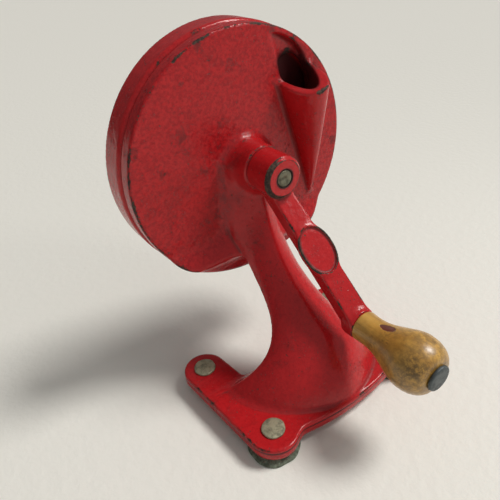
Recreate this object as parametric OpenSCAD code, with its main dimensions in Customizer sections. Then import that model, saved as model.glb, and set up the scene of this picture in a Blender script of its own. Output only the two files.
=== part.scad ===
// Hand-cranked bean slicer: a cast stand carries a round front plate with a
// feed chute, and a crank turns a wheel of knives that runs behind the plate.
// Front is -Y, the crank side. The origin is at the bottom centre of its box.

/* [Stand] */
// Height of the crank axis above the table
axis_h = 129; // [122:1:150]
// Thickness of the foot plate
base_t = 7.5; // [5:0.5:10]
// Distance from the front plate forward to the front edge of the foot plate
base_reach = 88.3; // [86:0.1:92]
// Radius of the bowed front edge of the foot plate
base_bow = 150; // [110:5:200]
// Distance from the front plate forward to the notch between the rear lobes
notch_y = 36; // [32:1:40]
// Half distance between the rear feet
rear_foot_x = 52; // [46:1:60]
// Distance from the front plate forward to the rear feet
rear_foot_y = 15; // [8:1:20]
// Radius of the lobe round each rear foot
rear_lobe_r = 12.6; // [11.5:0.1:14]
// Half distance between the front feet
front_foot_x = 46.5; // [42:0.5:52]
// Distance from the front plate forward to the front feet
front_foot_y = 75.5; // [70:0.5:80]
// Radius of the lobe round each front foot
front_lobe_r = 14; // [12:0.1:15]
// Half width of the skirt where it meets the foot plate
skirt_half = 50.6; // [44:0.2:56]
// Half width of the neck under the boss
neck_half = 11; // [9:0.5:12]
// Half width of the neck at its waist
waist_half = 15.1; // [12:0.1:18]
// Wall of the hollow skirt
skirt_wall = 6; // [4:0.5:8]

/* [Front plate] */
// Radius of the front plate
plate_r = 69; // [66:0.5:76]
// Thickness of the front plate
plate_t = 5.5; // [4:0.5:7]
// Depth of the plate with its rearward rim
rim_depth = 9; // [8:0.5:12]
// Radial thickness of the rearward rim
rim_t = 5.5; // [4:0.5:6.5]
// Round on the front edge of the plate
rim_round = 1.1; // [0.5:0.1:2.5]
// Radius of the bearing boss at its front end
boss_r = 12.2; // [11:0.1:14]
// Distance the bearing boss stands forward of the plate
boss_out = 16.3; // [14:0.1:20]
// Radius of the hollow fillet round the boss
boss_fillet = 7; // [4:0.5:9]

/* [Chute] */
// Sideways place of the chute's mouth
chute_x = 34.9; // [33.5:0.1:36]
// Height of the lip above the axis where it meets the plate
chute_top = 39.6; // [37:0.1:41]
// Length of the chute down the plate
chute_len = 75; // [62:1:78]
// Half width of the chute at its lip
chute_half = 12; // [11.5:0.1:13]
// Distance the lip stands forward of the plate
chute_out = 22.3; // [21:0.1:25]
// Lean of the chute's front to the right, as a share of its half width
chute_skew = 0.2; // [0:0.05:0.4]
// Slope of the lip from level, down towards the front
lip_slope = 19; // [12:1:24]
// Sideways tilt of the lip, up towards the right
lip_tilt = 16.8; // [10:0.1:20]
// Half width of the feed passage
feed_half = 8.45; // [7.5:0.05:8.8]
// Half height of the feed passage
feed_rise = 12.45; // [11:0.05:12.8]
// Narrowing of the passage towards its lower side, as a share
feed_taper = 0.33; // [0.1:0.01:0.4]
// Sideways drift of the passage towards its lower side, as a share
feed_skew = 0.12; // [0:0.01:0.2]
// Distance of the passage's middle forward of the plate at the mouth
feed_out = 7; // [6:0.1:8]
// Slope of the feed passage from upright
feed_slope = 42; // [38:1:46]
// Sideways lean of the feed passage
feed_lean = 12; // [6:1:14]
// Width of the scooped run above the mouth
scoop_w = 14.4; // [12:0.1:16]
// Depth of the scooped run where it enters the passage
scoop_depth = 4; // [2.5:0.1:4.4]
// Slope of the scooped run's floor towards the rim
scoop_slope = 8; // [5:1:12]
// Sideways lean of the scooped run
scoop_lean = 29; // [20:1:35]

/* [Cutter wheel] */
// Radius of the cutter wheel
wheel_r = 70; // [68.5:0.5:78]
// Depth of the wheel's rim
wheel_depth = 16.6; // [14:0.2:22]
// Thickness of the wheel's disc
disc_t = 4.5; // [4:0.1:6]
// Radial thickness of the wheel's rim
wheel_rim_t = 5; // [4:0.5:7]
// Round on the front shoulder of the rim
wheel_round = 2.6; // [1:0.1:3.5]
// Radius of the wheel's hub
wheel_hub_r = 13; // [11:0.5:15]
// Height of the wheel's hub behind the disc
wheel_hub_out = 8; // [5:0.5:10]

/* [Knives] */
// Number of knives
knives = 3; // [3:1:3]
// Length of a knife
knife_len = 36; // [30:1:38]
// Width of a knife
knife_w = 15; // [13:0.5:17]
// Thickness of a knife
knife_t = 1.6; // [1.2:0.1:1.8]
// Width of the ground bevel
bevel_w = 4; // [2:0.5:5]
// Distance of the knives' outer ends from the plate's rim
knife_gap = 3; // [2:0.5:6]
// Slant of a knife from the radius
knife_slant = 14; // [0:1:18]
// Width of the slot under each knife's edge
slot_w = 10; // [9:0.5:12]
// Distance that the edge stands over its slot
edge_over = 3; // [2:0.5:4]
// Distance between the two screws of a knife
screw_pitch = 22; // [16:1:24]
// Radius of the knife screws' shanks
screw_r = 1.6; // [1.4:0.1:2]
// Radius of the knife screws' heads
screw_head_r = 2.9; // [2.5:0.1:3.2]

/* [Spindle] */
// Radius of the spindle
spindle_r = 4.5; // [4.4:0.1:5.5]
// Distance across the two flats that drive the wheel
flats_w = 8.2; // [7.4:0.1:8.6]
// Radius of the threaded rear end
stub_r = 3.8; // [3:0.1:4]
// Length of the threaded rear end behind the nut
stub_over = 1.5; // [0.5:0.1:3]
// Radius of the washer behind the wheel
washer_r = 9; // [7:0.5:11]
// Thickness of the washer
washer_t = 1.5; // [1:0.1:2]
// Distance across the nut's flats
nut_af = 13; // [11:0.5:15]
// Thickness of the nut
nut_t = 5; // [4:0.5:7]

/* [Crank] */
// Distance from the axis to the handle's pin
crank_len = 75.6; // [70:0.1:80]
// Angle of the crank from straight down
crank_rest = 10; // [0:1:30]
// Radius of the crank's hub
hub_r = 11.5; // [10.5:0.1:13]
// Length of the crank's hub
hub_len = 17.5; // [14:0.5:20]
// Worn bevel on the hub's front edge
hub_bevel = 1.8; // [0.4:0.1:2.2]
// Width of the arm at the hub
arm_w = 12; // [10:0.1:16]
// Width of the arm at the handle
arm_end_w = 13.9; // [11:0.1:15]
// Thickness of the arm
arm_t = 9.5; // [7:0.5:10.5]
// Distance from the hub's rear face to the middle of the arm, on the axis
arm_at = -2.5; // [-4:0.1:2]
// Distance from the eye's front face back to the middle of the arm
arm_end_at = 2.3; // [1:0.1:4]
// Half length of the arm's oval panel
panel_l = 15; // [14:0.5:19]
// Half width of the arm's oval panel
panel_w = 9.9; // [9:0.1:12]
// Place of the oval panel along the arm, as a share of its length
panel_at = 0.54; // [0.45:0.01:0.58]
// Thickness of the oval panel where it stands out beside the arm
panel_t = 3; // [2:0.5:5]
// Height of the oval panel's raised edge
panel_edge = 0.5; // [0.3:0.1:1]
// Width of the oval panel's raised edge
panel_edge_w = 1.2; // [0.8:0.1:2]
// Radius of the eye that holds the handle's pin
eye_r = 8.5; // [7.5:0.1:9]
// Thickness of the eye
eye_t = 7.5; // [6:0.5:10]

/* [Handle] */
// Distance from the front plate forward to the eye's front face
handle_y = 79.5; // [79:0.5:86]
// Length of the wooden handle
handle_len = 47; // [40:1:56]
// Radius of the handle's neck beside the eye
grip_r = 8.5; // [7.5:0.1:10]
// Hollow of the handle between its neck and its bulb
waist_in = 1.9; // [0:0.1:2.4]
// Radius of the handle's bulb
bulb_r = 15.3; // [12:0.1:17]
// Place of the bulb's widest part, as a share of the handle's length
bulb_at = 0.72; // [0.64:0.01:0.76]
// Radius of the handle's flat outer end
nose_r = 7.6; // [7:0.1:9]
// Radius of the handle's pin
pin_r = 3; // [2.5:0.1:3.5]
// Radius of the pin's outer head
cap_r = 7; // [5.5:0.1:7.4]
// Thickness of the pin's outer head
cap_t = 2; // [1:0.1:3]
// Radius of the pin's riveted inner end
peen_r = 4.4; // [4:0.1:5.5]
// Thickness of the pin's riveted inner end
peen_t = 1; // [0.6:0.1:1.5]

/* [Feet] */
// Radius of a front foot on the table
foot_r = 15; // [13:0.5:16]
// Radius of a rear foot on the table
rear_foot_r = 9.5; // [9:0.5:12]
// Radius of a rubber foot under the plate, where the foot is wide enough
foot_top_r = 10.5; // [9:0.5:12]
// Height of the table side of the plate
foot_h = 5.2; // [4.6:0.1:8]
// Radius of the hollow under a foot
foot_cup_r = 6; // [5.4:0.1:7]
// Radius of a foot rivet's head
rivet_r = 6.6; // [5:0.1:7.5]
// Height of a foot rivet's head
rivet_h = 1.6; // [1:0.1:2.5]
// Radius of a foot rivet's shank
rivet_shank_r = 2.4; // [2:0.1:3]
// Radius of a foot rivet's lower end
rivet_tail_r = 4.6; // [4:0.1:5]
// Thickness of a foot rivet's lower end
rivet_tail_t = 1.2; // [0.8:0.1:1.4]

/* [Fits] */
// Radial clearance of turning fits
run_fit = 0.05; // [0.02:0.01:0.08]
// Radial clearance of fixed fits
fixed_fit = 0.02; // [0.01:0.01:0.04]
// End clearance beside turning pieces
side_gap = 0.3; // [0.2:0.05:0.5]

/* [Hidden] */
$fn = 64;

enamel = "firebrick";
steel = "lightsteelblue";
nickel = "silver";
rubber = "dimgray";
beech = "burlywood";

// Depths behind the front plate's face, all measured rearward
wheel_y = rim_depth + side_gap;
disc_back = wheel_y + disc_t;
hub_back = disc_back + wheel_hub_out;
washer_back = hub_back + washer_t;
nut_back = washer_back + nut_t;
spindle_back = nut_back + stub_over;
wheel_back = wheel_y + wheel_depth;

// Distances in front of the plate's face, all measured forward
hub_rear = boss_out + side_gap;
hub_front = hub_rear + hub_len;
handle_rear = handle_y + side_gap;
handle_front = handle_rear + handle_len;
cap_rear = handle_front + side_gap;
cap_front = cap_rear + cap_t;

// Place of the plate's face, so that the box is centred on the origin
reach_back = max(spindle_back, wheel_back);
face_y = (cap_front - reach_back) / 2;
plate_z = foot_h + base_t;
drop = axis_h - plate_z;
slack = 0.01;

// Distance of a knife's middle from the axis, so that both outer corners clear
// the plate's rim
function knife_room(side) =
  let (c = cos(knife_slant), s = sin(knife_slant))
  let (x = knife_len / 2 * c - side * knife_w / 2 * s)
  let (y = knife_len / 2 * s + side * knife_w / 2 * c)
  sqrt(pow(plate_r - rim_t - knife_gap, 2) - y * y) - x;
knife_at = floor(2 * min(knife_room(-1), knife_room(1))) / 2;

// Point on a cubic curve through its first and last control point
function bezier(p, t) =
  pow(1 - t, 3) * p[0] + 3 * pow(1 - t, 2) * t * p[1]
  + 3 * (1 - t) * t * t * p[2] + pow(t, 3) * p[3];

// The four corners of a bar whose sides touch two circles
function tangent_bar(p, r, q, s) =
  let (d = q - p, l = norm(d), u = d / l, n = [-u[1], u[0]])
  let (c = (r - s) / l, k = sqrt(1 - c * c))
  [p + r * (c * u + k * n), q + s * (c * u + k * n),
   q + s * (c * u - k * n), p + r * (c * u - k * n)];

// Faces that close a stack of equal rings into a solid
function stack_faces(rings, n) = concat(
  [[for (j = [0 : n - 1]) j]],
  [for (i = [0 : rings - 2], j = [0 : n - 1])
    [i * n + j, (i + 1) * n + j, (i + 1) * n + (j + 1) % n]],
  [for (i = [0 : rings - 2], j = [0 : n - 1])
    [i * n + j, (i + 1) * n + (j + 1) % n, i * n + (j + 1) % n]],
  [[for (j = [n - 1 : -1 : 0]) (rings - 1) * n + j]]);

// Moves to the crank axis, at the front plate's face
module at_axis() {
  translate([0, face_y, axis_h]) children();
}

// Turns a profile of [radius, distance forward] round the crank axis
module turned() {
  rotate([90, 0, 0]) rotate_extrude() children();
}

// Straight round bar along the axis, from one distance forward to another
module bar(r, from, to) {
  rotate([90, 0, 0]) translate([0, 0, from]) cylinder(r = r, h = to - from);
}

// Neck: front ridge and back edge as curves in the plane of symmetry
ridge_top = [-14, -2];
ridge_1 = [-13.3, -0.59 * drop];
ridge_2 = [12.3 - base_reach, -0.642 * drop];
ridge_foot = [1.3 - base_reach, -drop];
back_top = [4, -2];
back_1 = [17.9, -0.636 * drop];
back_2 = [-notch_y - 40.7, -0.607 * drop];
back_foot = [0.5 - notch_y, -drop];
neck_rings = 18;
neck_points = 28;

// Half widths of the neck down its length, so that the middle is the waist
half_1 = neck_half + 7.5;
half_2 = (8 * waist_half - neck_half - 3 * half_1 - skirt_half) / 3;

function ridge(t) = bezier([ridge_top, ridge_1, ridge_2, ridge_foot], t);
function back_edge(t) = bezier([back_top, back_1, back_2, back_foot], t);
function half(t) = bezier([neck_half, half_1, half_2, skirt_half], t);

// One closed ring of the neck, drawn in by a wall: a flat back with round
// corners and two flanks that meet in a rounded ridge
function neck_ring(t, wall) =
  let (f = ridge(t), b = back_edge(t), l = norm(f - b), u = (f - b) / l)
  let (widest = max(l * (0.26 - 0.18 * t), wall + 1))
  let (flank = 1.61 - 0.29 * t - 0.27 * pow(t, 4), a = half(t) - wall)
  [for (j = [0 : neck_points - 1])
    let (q = 360 * j / neck_points, c = cos(q), s = sin(q))
    let (x = s > 0 ? sign(c) * pow(abs(c), flank) : c)
    let (reach = s > 0 ? (l - widest - wall) * s
      : -(widest - wall) * pow(-s, 0.4))
    let (p = b + u * (widest + reach))
    [a * x, p[0], p[1]]];

// Neck from one place along its curves to another, run on below the plate
module neck(wall, from, below) {
  rings = [for (i = [0 : neck_rings])
    neck_ring(from + (1 - from) * i / neck_rings, wall)];
  foot = [for (p = neck_ring(1, wall)) [p[0], p[1], p[2] - below]];
  points = concat([for (r = rings) each r], foot);
  polyhedron(points = points, faces = stack_faces(neck_rings + 2, neck_points));
}

// Outline of the foot plate seen from above, with the plate's face at y = 0
module base_outline() {
  intersection() {
    translate([0, base_bow - base_reach]) circle(r = base_bow, $fn = 128);
    translate([-front_foot_x, -base_reach - 1])
      square([2 * front_foot_x, base_reach + 1 - notch_y]);
  }
  for (side = [-1, 1]) {
    rear = [side * rear_foot_x, -rear_foot_y];
    front = [side * front_foot_x, -front_foot_y];
    translate(rear) circle(r = rear_lobe_r);
    translate(front) circle(r = front_lobe_r);
    polygon(tangent_bar(rear, rear_lobe_r, front, front_lobe_r));
  }
}

// Profile of the front plate with its rim and both ends of the boss
module plate_profile() {
  f = boss_fillet;
  neck_r = boss_r + 0.8;
  polygon(concat(
    [[0, -rim_depth], [boss_r, -rim_depth], [boss_r, -plate_t]],
    [[plate_r - rim_t, -plate_t], [plate_r - rim_t + 1, -rim_depth]],
    [[plate_r, -rim_depth]],
    [for (q = [0 : 30 : 90])
      [plate_r - rim_round + rim_round * cos(q),
       -rim_round + rim_round * sin(q)]],
    [for (q = [270 : -15 : 180])
      [neck_r + f + f * cos(q), f + f * sin(q)]],
    [[boss_r, boss_out - 1], [boss_r - 1, boss_out], [0, boss_out]]));
}

// Outside of the chute: rounded rings that taper down the plate, with their
// right side on one upright line
chute_rings = 16;
chute_points = 18;
chute_rise = 12;

function chute_ring(v) =
  let (z = chute_top + chute_rise - (chute_len + chute_rise) * v)
  let (s = (chute_top - z) / chute_len)
  let (a = (chute_half - 0.8) * (1 - s) + 0.8)
  let (out = chute_out * pow(1 - s, 0.85) + 0.4)
  let (right = chute_x + chute_half)
  concat(
    [[right, 2, z]],
    [for (j = [0 : chute_points])
      let (q = 180 * j / chute_points, c = cos(q), f = pow(sin(q), 2 / 3))
      let (aside = c > 0 ? pow(c, 0.91) : c)
      [right + a * (aside + chute_skew * f * f - 1), -out * f, z]],
    [[right - 2 * a, 2, z]]);

module chute_outside() {
  rings = [for (i = [0 : chute_rings]) chute_ring(i / chute_rings)];
  points = [for (r = rings) each r];
  n = chute_points + 3;
  difference() {
    polyhedron(points = points, faces = stack_faces(chute_rings + 1, n));
    translate([chute_x, 0, chute_top])
      rotate([atan(tan(lip_slope) * cos(lip_tilt)), -lip_tilt, 0])
      translate([-50, -50, 0]) cube([100, 100, 60]);
  }
}

// Frame of a sloping, leaning run: x across it, y rising, z along it
module along_run(place, slope, lean) {
  translate(place) rotate([slope, 0, 0]) rotate([0, -lean, 0]) children();
}

// Egg-shaped outline with its narrow end down
module egg(half, rise, taper, skew) {
  function swell(v) = sign(v) * pow(abs(v), 0.87);
  polygon([for (j = [0 : 39])
    let (q = 9 * j, level = swell(sin(q)))
    [half * (1 + taper * level) * swell(cos(q)) - skew * rise * level,
     rise * level]]);
}

// Sloping passage from the mouth through the plate to the wheel
module feed_passage() {
  along_run([chute_x - 0.4, -feed_out, chute_top + 2.9], feed_slope, feed_lean)
    translate([0, 0, -50]) linear_extrude(80)
    egg(feed_half, feed_rise, feed_taper, feed_skew);
}

// Shallow run from the plate's edge down to the mouth, a part of a round bar
// with a steep right side
module scoop() {
  right = scoop_w / 2 + 0.7;
  deepest = 4;
  wide = deepest + scoop_w / 2 - 0.7;
  r = (wide * wide + scoop_depth * scoop_depth) / (2 * scoop_depth);
  intersection() {
    along_run([chute_x - 3.8, 0, chute_top + 10.5], scoop_slope, scoop_lean)
      intersection() {
        translate([deepest, scoop_depth - r, -9]) cylinder(r = r, h = 40);
        translate([right - 40, -40, -10]) cube([40, 60, 60]);
      }
    bar(plate_r - 3, -plate_t, 40);
  }
}

module casting_solid() {
  difference() {
    turned() plate_profile();
    scoop();
  }
  chute_outside();
  difference() {
    neck(0, 0, base_t / 2);
    neck(skirt_wall, 0.5, base_t);
  }
  difference() {
    translate([0, 0, -drop - base_t]) linear_extrude(base_t) base_outline();
    translate([0, 0, -0.5]) neck(skirt_wall, 0.5, base_t);
  }
}

// One casting: front plate, boss, chute, neck, skirt and foot plate
module body_casting() {
  color(enamel) at_axis() difference() {
    casting_solid();
    feed_passage();
    bar(spindle_r + run_fit, -rim_depth - 1, boss_out + 1);
    for (side = [-1, 1]) {
      foot_hole(side * front_foot_x, -front_foot_y);
      foot_hole(side * rear_foot_x, -rear_foot_y);
    }
  }
}

module foot_hole(x, y) {
  translate([x, y, -drop - base_t - 1])
    cylinder(r = rivet_shank_r + fixed_fit, h = base_t + 2);
}

// Section of the flatted part of the spindle, or of the hole that fits it
module flatted(r, across) {
  intersection() {
    circle(r = r);
    square([across, 3 * r], center = true);
  }
}

module spindle() {
  color(steel) at_axis() {
    bar(spindle_r, -wheel_y, hub_front);
    rotate([90, 0, 0]) translate([0, 0, -hub_back + 0.5])
      linear_extrude(hub_back - 0.5 - wheel_y + slack)
      flatted(spindle_r, flats_w);
    bar(stub_r, -spindle_back, -hub_back + 0.5 + slack);
  }
}

// Outline of the arm along its length, from the hub to the eye
arm_rise = handle_y - arm_end_at - hub_rear - arm_at;
arm_angle = atan(arm_rise / crank_len);
arm_len = norm([arm_rise, crank_len]);

module arm_outline() {
  polygon(tangent_bar([0, 0], arm_w / 2, [0, -arm_len], arm_end_w / 2));
}

// Oval panel at the middle of the arm, made of two arcs and two round ends
module panel_outline(inset) {
  l = panel_l - inset;
  w = panel_w - inset;
  end_r = w * 0.6;
  side_r = (pow(l - end_r, 2) + w * w - end_r * end_r) / (2 * (w - end_r));
  translate([0, -arm_len * panel_at]) {
    intersection() {
      translate([w - side_r, 0]) circle(r = side_r, $fn = 128);
      translate([side_r - w, 0]) circle(r = side_r, $fn = 128);
      square([2 * w + 1, 2 * (l - end_r)], center = true);
    }
    for (end = [-1, 1]) translate([0, end * (l - end_r)]) circle(r = end_r);
  }
}

// The cast crank stands on the hub and leans forward to the handle
module crank_blank() {
  turned() polygon([
    [0, hub_rear], [hub_r, hub_rear], [hub_r, hub_front - hub_bevel],
    [hub_r - hub_bevel, hub_front], [0, hub_front]]);
  translate([0, -hub_rear - arm_at, 0])
    rotate([90 - arm_angle, 0, 0]) {
      translate([0, 0, -arm_t / 2]) linear_extrude(arm_t) arm_outline();
      translate([0, 0, arm_t / 2 - panel_t])
        linear_extrude(panel_t) panel_outline(0);
      difference() {
        linear_extrude(arm_t / 2 + panel_edge) panel_outline(0);
        linear_extrude(arm_t + panel_edge) panel_outline(panel_edge_w);
      }
    }
  translate([0, 0, -crank_len]) bar(eye_r, handle_y - eye_t, handle_y);
}

module crank_arm() {
  color(enamel) at_axis() rotate([0, -crank_rest, 0]) difference() {
    crank_blank();
    bar(spindle_r + fixed_fit, 0, hub_front + 20);
    bar(hub_r + 3, hub_front, hub_front + 20);
    bar(hub_r + 3, 0, hub_rear);
    translate([0, 0, -crank_len]) {
      bar(pin_r + fixed_fit, handle_y - 2 * eye_t, handle_y + 10);
      bar(eye_r + 6, handle_y, handle_y + 20);
      bar(peen_r + 1, handle_y - eye_t - 20, handle_y - eye_t);
    }
  }
}

// Moves to the handle's pin with the crank at rest
module at_pin() {
  at_axis() rotate([0, -crank_rest, 0]) translate([0, 0, -crank_len]) children();
}

module handle_pin() {
  pin_back = handle_y - eye_t;
  color(steel) at_pin() turned() polygon([
    [0, pin_back - peen_t], [peen_r - 1, pin_back - peen_t],
    [peen_r, pin_back], [pin_r, pin_back], [pin_r, cap_rear],
    [cap_r, cap_rear], [cap_r, cap_front - 0.7],
    [cap_r - 0.7, cap_front], [0, cap_front]]);
}

// Pear-shaped handle: a narrow neck that swells to a bulb, flat at both ends
function handle_radius(s) =
  let (t = 180 * min(1, s / bulb_at))
  let (rest = max(0, s - bulb_at) / (1 - bulb_at))
  s < bulb_at
    ? grip_r + (bulb_r - grip_r) * (1 - cos(t)) / 2 - waist_in * pow(sin(t), 1.5)
    : nose_r + (bulb_r - nose_r) * sqrt(max(0, 1 - pow(rest, 2.2)));

module wooden_handle() {
  steps = 28;
  color(beech) at_pin() turned() polygon(concat(
    [[pin_r + run_fit, handle_rear]],
    [for (i = [0 : steps])
      [handle_radius(i / steps), handle_rear + handle_len * i / steps]],
    [[pin_r + run_fit, handle_front]]));
}

// Moves to a knife: x along the knife, y across it, z forward of the disc
module at_knife(n) {
  at_axis() rotate([0, 360 * n / knives, 0])
    translate([0, wheel_y, 0]) rotate([90, 0, 0])
    translate([knife_at, 0, 0]) rotate([0, 0, knife_slant]) children();
}

// Slot in the disc under a knife's edge
module knife_slot() {
  r = slot_w / 2;
  y = knife_w / 2 - edge_over + r;
  span = knife_len / 2 - r - 2;
  translate([0, 0, -disc_t - 1]) {
    translate([-span, y - r, 0]) cube([2 * span, slot_w, disc_t + 2]);
    for (end = [-1, 1])
      translate([end * span, y, 0]) cylinder(r = r, h = disc_t + 2);
  }
}

// Places of a knife's two screws
module at_screw(side) {
  translate([side * screw_pitch / 2, -knife_w / 4, 0]) children();
}

module wheel_profile() {
  inner = wheel_r - wheel_rim_t;
  polygon(concat(
    [[0, -hub_back], [wheel_hub_r - 1, -hub_back], [wheel_hub_r, -hub_back + 1]],
    [[wheel_hub_r + 1, -disc_back]],
    [[inner - 2, -disc_back], [inner, -disc_back - 2], [inner, -wheel_back]],
    [[wheel_r - 1, -wheel_back], [wheel_r, -wheel_back + 1]],
    [for (q = [0 : 22.5 : 90])
      [wheel_r - wheel_round + wheel_round * cos(q),
       -wheel_y - wheel_round + wheel_round * sin(q)]],
    [[0, -wheel_y]]));
}

module cutter_wheel() {
  color(enamel) difference() {
    at_axis() turned() wheel_profile();
    at_axis() rotate([90, 0, 0]) translate([0, 0, -hub_back - 1])
      linear_extrude(hub_back + 2)
      flatted(spindle_r + fixed_fit, flats_w + 2 * fixed_fit);
    for (n = [0 : knives - 1]) {
      at_knife(n) knife_slot();
      at_knife(n) for (side = [-1, 1]) at_screw(side)
        translate([0, 0, -disc_t - 1])
        cylinder(r = screw_r + fixed_fit, h = disc_t + 2);
    }
  }
}

module knife(n) {
  edge = knife_w / 2;
  color(nickel) at_knife(n) difference() {
    translate([-knife_len / 2, 0, 0]) rotate([90, 0, 90])
      linear_extrude(knife_len) polygon([
        [-edge, 0], [edge, 0], [edge, 0.2],
        [edge - bevel_w, knife_t], [-edge, knife_t]]);
    for (side = [-1, 1]) at_screw(side) {
      translate([0, 0, -1]) cylinder(r = screw_r + fixed_fit, h = 4);
      translate([0, 0, knife_t - screw_head_r + screw_r])
        cylinder(r1 = screw_r + fixed_fit, r2 = screw_head_r + fixed_fit,
          h = screw_head_r - screw_r);
    }
  }
}

module knife_1() { knife(0); }
module knife_2() { knife(1); }
module knife_3() { knife(2); }

// Countersunk screw that holds a knife to the disc
module knife_screw(n, side) {
  cone = screw_head_r - screw_r;
  color(steel) at_knife(n) at_screw(side) rotate_extrude() polygon([
    [0, -disc_t], [screw_r, -disc_t], [screw_r, knife_t - cone],
    [screw_head_r, knife_t], [0, knife_t]]);
}

module knife_screw_1() { knife_screw(0, -1); }
module knife_screw_2() { knife_screw(0, 1); }
module knife_screw_3() { knife_screw(1, -1); }
module knife_screw_4() { knife_screw(1, 1); }
module knife_screw_5() { knife_screw(2, -1); }
module knife_screw_6() { knife_screw(2, 1); }

module wheel_washer() {
  color(steel) at_axis() difference() {
    bar(washer_r, -washer_back, -hub_back);
    bar(stub_r + fixed_fit, -washer_back - 1, 1);
  }
}

// Six-sided nut with chamfered corners
module wheel_nut() {
  corner = nut_af / 2 / cos(30);
  color(steel) at_axis() difference() {
    intersection() {
      rotate([90, 0, 0]) translate([0, 0, -nut_back])
        cylinder(r = corner, h = nut_t, $fn = 6);
      turned() polygon([
        [0, -nut_back], [corner - 1, -nut_back], [corner + 0.5, -nut_back + 1],
        [corner + 0.5, -washer_back], [0, -washer_back]]);
    }
    bar(stub_r + fixed_fit, -nut_back - 1, 1);
  }
}

// Moves to a foot: z = 0 on the table
module at_foot(side, front) {
  x = front ? front_foot_x : rear_foot_x;
  y = front ? front_foot_y : rear_foot_y;
  translate([side * x, face_y - y, 0]) children();
}

// Rubber foot like a shallow bell, hollow where the rivet's tail sits
module foot(side, front) {
  web = rivet_tail_t + 1;
  r = front ? foot_r : rear_foot_r;
  top_r = min(foot_top_r, r - 2);
  color(rubber) at_foot(side, front) rotate_extrude() polygon([
    [foot_cup_r, 0], [r, 0], [r, 1.2], [r - 1, 2.2],
    [top_r, foot_h - 1.2], [top_r, foot_h],
    [rivet_shank_r + fixed_fit, foot_h],
    [rivet_shank_r + fixed_fit, web + 0.6], [foot_cup_r, web + 0.6]]);
}

module foot_front_left() { foot(-1, true); }
module foot_front_right() { foot(1, true); }
module foot_rear_left() { foot(-1, false); }
module foot_rear_right() { foot(1, false); }

// Domed rivet through the plate and the rubber foot
module rivet(side, front) {
  web = rivet_tail_t + 1;
  tail = web + 0.6;
  color(nickel) at_foot(side, front) rotate_extrude() polygon([
    [0, tail - rivet_tail_t], [rivet_tail_r, tail - rivet_tail_t],
    [rivet_tail_r, tail], [rivet_shank_r, tail], [rivet_shank_r, plate_z],
    [rivet_r, plate_z], [rivet_r, plate_z + rivet_h * 0.4],
    [rivet_r * 0.86, plate_z + rivet_h * 0.75],
    [rivet_r * 0.6, plate_z + rivet_h * 0.94], [0, plate_z + rivet_h]]);
}

module rivet_front_left() { rivet(-1, true); }
module rivet_front_right() { rivet(1, true); }
module rivet_rear_left() { rivet(-1, false); }
module rivet_rear_right() { rivet(1, false); }

body_casting();
spindle();
crank_arm();
handle_pin();
wooden_handle();
cutter_wheel();
knife_1();
knife_2();
knife_3();
knife_screw_1();
knife_screw_2();
knife_screw_3();
knife_screw_4();
knife_screw_5();
knife_screw_6();
wheel_washer();
wheel_nut();
foot_front_left();
foot_front_right();
foot_rear_left();
foot_rear_right();
rivet_front_left();
rivet_front_right();
rivet_rear_left();
rivet_rear_right();
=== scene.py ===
from math import atan2, cos, hypot, pi, radians, sin, sqrt, tan

import bmesh
import bpy
import numpy as np
from mathutils import Matrix, Vector


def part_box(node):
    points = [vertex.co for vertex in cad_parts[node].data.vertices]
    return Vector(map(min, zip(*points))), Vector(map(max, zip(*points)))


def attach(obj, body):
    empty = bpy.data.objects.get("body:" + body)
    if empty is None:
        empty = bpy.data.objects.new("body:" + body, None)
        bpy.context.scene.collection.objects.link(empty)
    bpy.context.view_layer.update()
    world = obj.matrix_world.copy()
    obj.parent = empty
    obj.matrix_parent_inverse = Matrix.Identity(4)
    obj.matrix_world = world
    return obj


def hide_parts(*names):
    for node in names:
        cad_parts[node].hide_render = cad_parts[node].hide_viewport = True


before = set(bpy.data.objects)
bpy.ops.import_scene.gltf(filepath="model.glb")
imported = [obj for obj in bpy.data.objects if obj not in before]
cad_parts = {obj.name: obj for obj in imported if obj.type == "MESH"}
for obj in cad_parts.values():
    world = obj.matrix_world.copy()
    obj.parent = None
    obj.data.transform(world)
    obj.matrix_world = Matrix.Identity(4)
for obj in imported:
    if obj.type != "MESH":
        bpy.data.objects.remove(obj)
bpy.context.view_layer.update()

# Sizes in millimetres: the same driving sizes as the solids. The local frame
# has its origin on the crank axis at the front plate's face, with +X right,
# +Y back and +Z up.
AXIS_H = 129.0
BASE_T, BASE_REACH, BASE_BOW, NOTCH_Y = 7.5, 88.3, 150.0, 36.0
REAR_FOOT, REAR_LOBE = (52.0, -15.0), 12.6
FRONT_FOOT, FRONT_LOBE = (46.5, -75.5), 14.0
SKIRT_HALF, NECK_HALF, WAIST_HALF, SKIRT_WALL = 50.6, 11.0, 15.1, 6.0
PLATE_R, PLATE_T, RIM_DEPTH, RIM_T, RIM_ROUND = 69.0, 5.5, 9.0, 5.5, 1.1
BOSS_R, BOSS_OUT, BOSS_FILLET = 12.2, 16.3, 7.0
CHUTE_X, CHUTE_TOP, CHUTE_LEN = 34.9, 39.6, 75.0
CHUTE_HALF, CHUTE_OUT, CHUTE_SKEW = 12.0, 22.3, 0.2
LIP_SLOPE, LIP_TILT = 19.0, 16.8
FEED_HALF, FEED_RISE, FEED_OUT, FEED_SLOPE = 8.45, 12.45, 7.0, 42.0
FEED_LEAN, FEED_SKEW, FEED_TAPER = 12.0, 0.12, 0.33
SCOOP_W, SCOOP_DEPTH, SCOOP_SLOPE, SCOOP_LEAN = 14.4, 4.0, 8.0, 29.0
WHEEL_R, WHEEL_DEPTH, DISC_T, WHEEL_RIM_T = 70.0, 16.6, 4.5, 5.0
WHEEL_ROUND, WHEEL_HUB_R, WHEEL_HUB_OUT = 2.6, 13.0, 8.0
KNIVES, KNIFE_AT, KNIFE_SLANT, KNIFE_LEN, KNIFE_W = 3, 41.0, 14.0, 36.0, 15.0
SLOT_W, EDGE_OVER = 10.0, 3.0
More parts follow.
